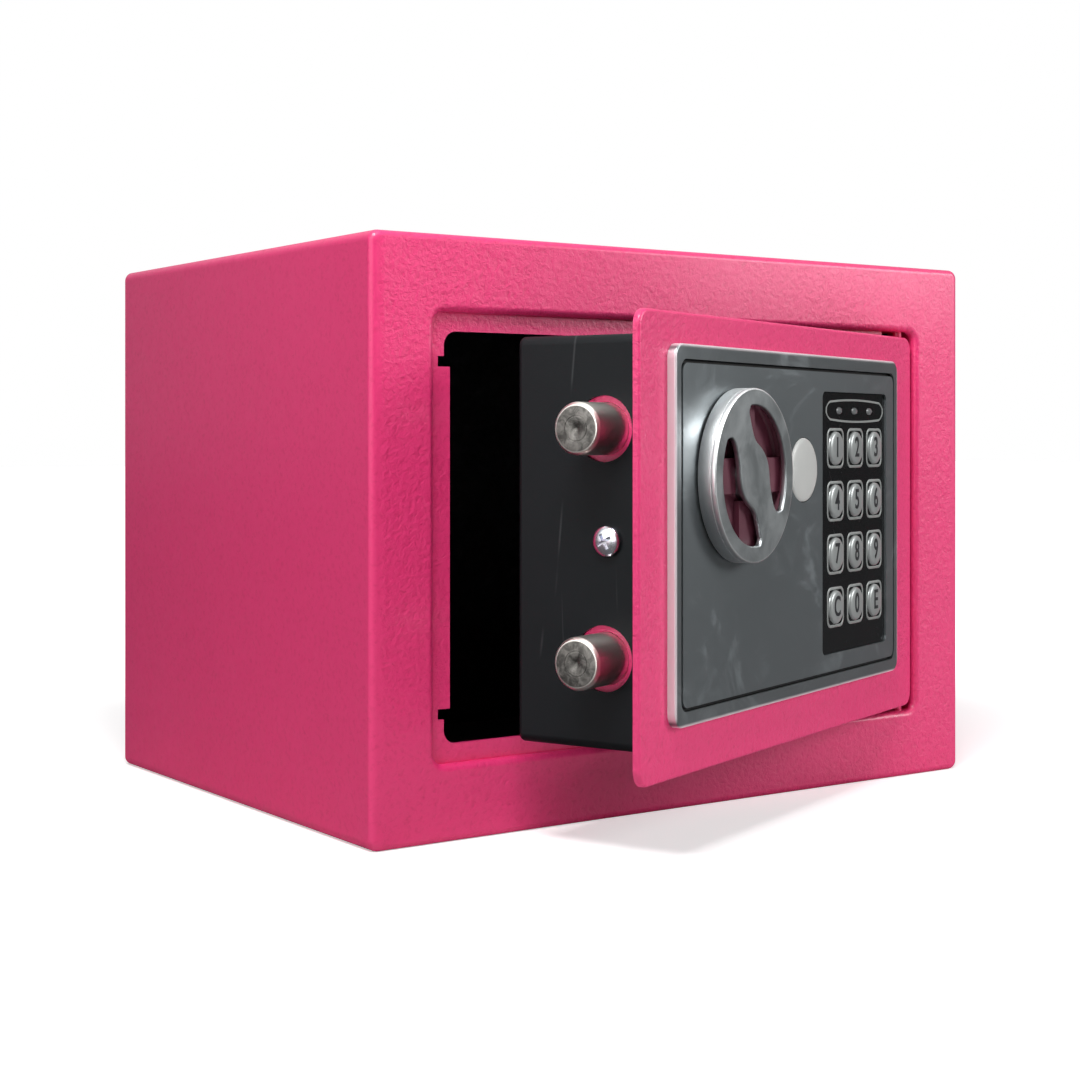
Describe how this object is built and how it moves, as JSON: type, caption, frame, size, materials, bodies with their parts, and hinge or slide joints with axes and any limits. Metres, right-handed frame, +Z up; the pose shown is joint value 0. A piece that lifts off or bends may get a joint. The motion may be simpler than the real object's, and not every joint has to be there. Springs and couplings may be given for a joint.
{
  "type": "coin bank safe",
  "caption": "Small cabinet safe with a hinged keypad door, S-bar turning knob that throws two round bolts, hidden key lock, felt-lined interior and back and floor anchor holes",
  "frame": {"origin": "centre of the underside of the cabinet", "axes": "+X towards the hinge side seen from the front, +Y from the front to the back, +Z up"},
  "size_m": [0.23, 0.2385, 0.17],
  "materials": {
    "powder_coat": "textured powder coat",
    "satin_black": "satin black paint",
    "felt": "felt",
    "zinc": "zinc plated",
    "nickel": "turned and polished",
    "panel_silver": "satin metallic",
    "gloss_black": "glossy",
    "chromed": "bright plated",
    "maroon": "satin",
    "silver_plastic": "satin metallic",
    "rubber_grey": "matte",
    "lens_grey": "clear lens",
    "board_green": "solder mask",
    "black_plastic": "moulded",
    "brass": "turned",
    "cell_wrap": "printed sleeve without text",
    "copper_tape": "tape over winding",
    "red_plastic": "moulded"
  },
  "bodies": {
    "cabinet": {"cabinet_shell": "powder_coat", "front_frame": "powder_coat", "back_panel": "powder_coat", "hinge_doublers": "powder_coat", "hinge_pins": "powder_coat", "floor_mat": "felt", "lining_top": "felt", "lining_sides": "felt", "lining_back": "felt"},
    "door": {"door_plate": "powder_coat", "door_hinge_ears": "powder_coat", "inner_frame": "powder_coat", "cover_bracket": "powder_coat", "guide_studs": "zinc", "lock_cover": "satin_black", "cover_screws": "zinc", "battery_tray": "black_plastic", "batteries": "cell_wrap", "battery_contacts": "zinc", "panel_bezel": "panel_silver", "panel_face": "panel_silver", "keypad_plate": "gloss_black", "led_lenses": "lens_grey", "key_mat": "rubber_grey", "circuit_board": "board_green", "key_lock_body": "chromed", "key_lock_nut": "zinc", "solenoid_frame": "zinc", "solenoid_coil": "copper_tape", "plunger_spring": "zinc", "reset_switch": "black_plastic", "knob_bushing": "brass"},
    "knob_group": {"knob": "chromed", "knob_insert": "maroon", "knob_spindle": "zinc", "drive_cam": "zinc", "knob_circlip": "zinc"},
    "bolt_group": {"bolt_carriage": "zinc", "bolt_upper": "nickel", "bolt_lower": "nickel", "bolt_nuts": "zinc"},
    "plunger_body": {"plunger": "zinc"},
    "cap": {"lock_cap": "silver_plastic"},
    "key_core": {"key_plug": "brass", "key_lever": "zinc"},
    "reset": {"reset_button": "red_plastic"},
    "battery_door": {"battery_lid": "black_plastic"},
    "button_1": {"key_1": "silver_plastic"},
    "button_2": {"key_2": "silver_plastic"},
    "button_3": {"key_3": "silver_plastic"},
    "button_4": {"key_4": "silver_plastic"},
    "button_5": {"key_5": "silver_plastic"},
    "button_6": {"key_6": "silver_plastic"},
    "button_7": {"key_7": "silver_plastic"},
    "button_8": {"key_8": "silver_plastic"},
    "button_9": {"key_9": "silver_plastic"},
    "button_c": {"key_c": "silver_plastic"},
    "button_0": {"key_0": "silver_plastic"},
    "button_e": {"key_e": "silver_plastic"}
  },
  "joints": [
    {"name": "door_hinge", "type": "hinge", "parent": "cabinet", "child": "door", "pos_m": [0.0898, -0.081, 0.085], "axis": [0, 0, 1], "range_deg": [-22.4, 72.6]},
    {"name": "knob_turn", "type": "hinge", "parent": "door", "child": "knob_group", "pos_m": [-0.03035, -0.13485, 0.1027], "axis": [-0.3811, 0.9245, 0], "range_deg": [0, 55]},
    {"name": "bolt_throw", "type": "slide", "parent": "door", "child": "bolt_group", "axis": [-0.9245, -0.3811, 0], "range_m": [0, 0.009]},
    {"name": "plunger_slide", "type": "slide", "parent": "door", "child": "plunger_body", "axis": [0, 0, 1], "range_m": [0, 0.004], "deforming": ["plunger_spring"]},
    {"name": "cap_pull", "type": "slide", "parent": "door", "child": "cap", "axis": [0.3811, -0.9245, 0], "range_m": [0, 0.01]},
    {"name": "key_turn", "type": "hinge", "parent": "door", "child": "key_core", "pos_m": [0.00987, -0.11827, 0.1036], "axis": [-0.3811, 0.9245, 0], "range_deg": [0, 90]},
    {"name": "press_1", "type": "slide", "parent": "door", "child": "button_1", "axis": [-0.3811, 0.9245, 0], "range_m": [0, 0.0008], "stiffness_N_per_m": 400},
    {"name": "press_2", "type": "slide", "parent": "door", "child": "button_2", "axis": [-0.3811, 0.9245, 0], "range_m": [0, 0.0008], "stiffness_N_per_m": 400},
    {"name": "press_3", "type": "slide", "parent": "door", "child": "button_3", "axis": [-0.3811, 0.9245, 0], "range_m": [0, 0.0008], "stiffness_N_per_m": 400},
    {"name": "press_4", "type": "slide", "parent": "door", "child": "button_4", "axis": [-0.3811, 0.9245, 0], "range_m": [0, 0.0008], "stiffness_N_per_m": 400},
    {"name": "press_5", "type": "slide", "parent": "door", "child": "button_5", "axis": [-0.3811, 0.9245, 0], "range_m": [0, 0.0008], "stiffness_N_per_m": 400},
    {"name": "press_6", "type": "slide", "parent": "door", "child": "button_6", "axis": [-0.3811, 0.9245, 0], "range_m": [0, 0.0008], "stiffness_N_per_m": 400},
    {"name": "press_7", "type": "slide", "parent": "door", "child": "button_7", "axis": [-0.3811, 0.9245, 0], "range_m": [0, 0.0008], "stiffness_N_per_m": 400},
    {"name": "press_8", "type": "slide", "parent": "door", "child": "button_8", "axis": [-0.3811, 0.9245, 0], "range_m": [0, 0.0008], "stiffness_N_per_m": 400},
    {"name": "press_9", "type": "slide", "parent": "door", "child": "button_9", "axis": [-0.3811, 0.9245, 0], "range_m": [0, 0.0008], "stiffness_N_per_m": 400},
    {"name": "press_c", "type": "slide", "parent": "door", "child": "button_c", "axis": [-0.3811, 0.9245, 0], "range_m": [0, 0.0008], "stiffness_N_per_m": 400},
    {"name": "press_0", "type": "slide", "parent": "door", "child": "button_0", "axis": [-0.3811, 0.9245, 0], "range_m": [0, 0.0008], "stiffness_N_per_m": 400},
    {"name": "press_e", "type": "slide", "parent": "door", "child": "button_e", "axis": [-0.3811, 0.9245, 0], "range_m": [0, 0.0008], "stiffness_N_per_m": 400},
    {"name": "reset_press", "type": "slide", "parent": "door", "child": "reset", "axis": [0.3811, -0.9245, 0], "range_m": [0, 0.0012], "stiffness_N_per_m": 400},
    {"name": "battery_lid_slide", "type": "slide", "parent": "door", "child": "battery_door", "axis": [0, 0, 1], "range_m": [0, 0.04]}
  ],
  "couplings": [
    {"joint": "knob_turn", "follows": "bolt_throw", "rad_per_m": 106.66}
  ]
}
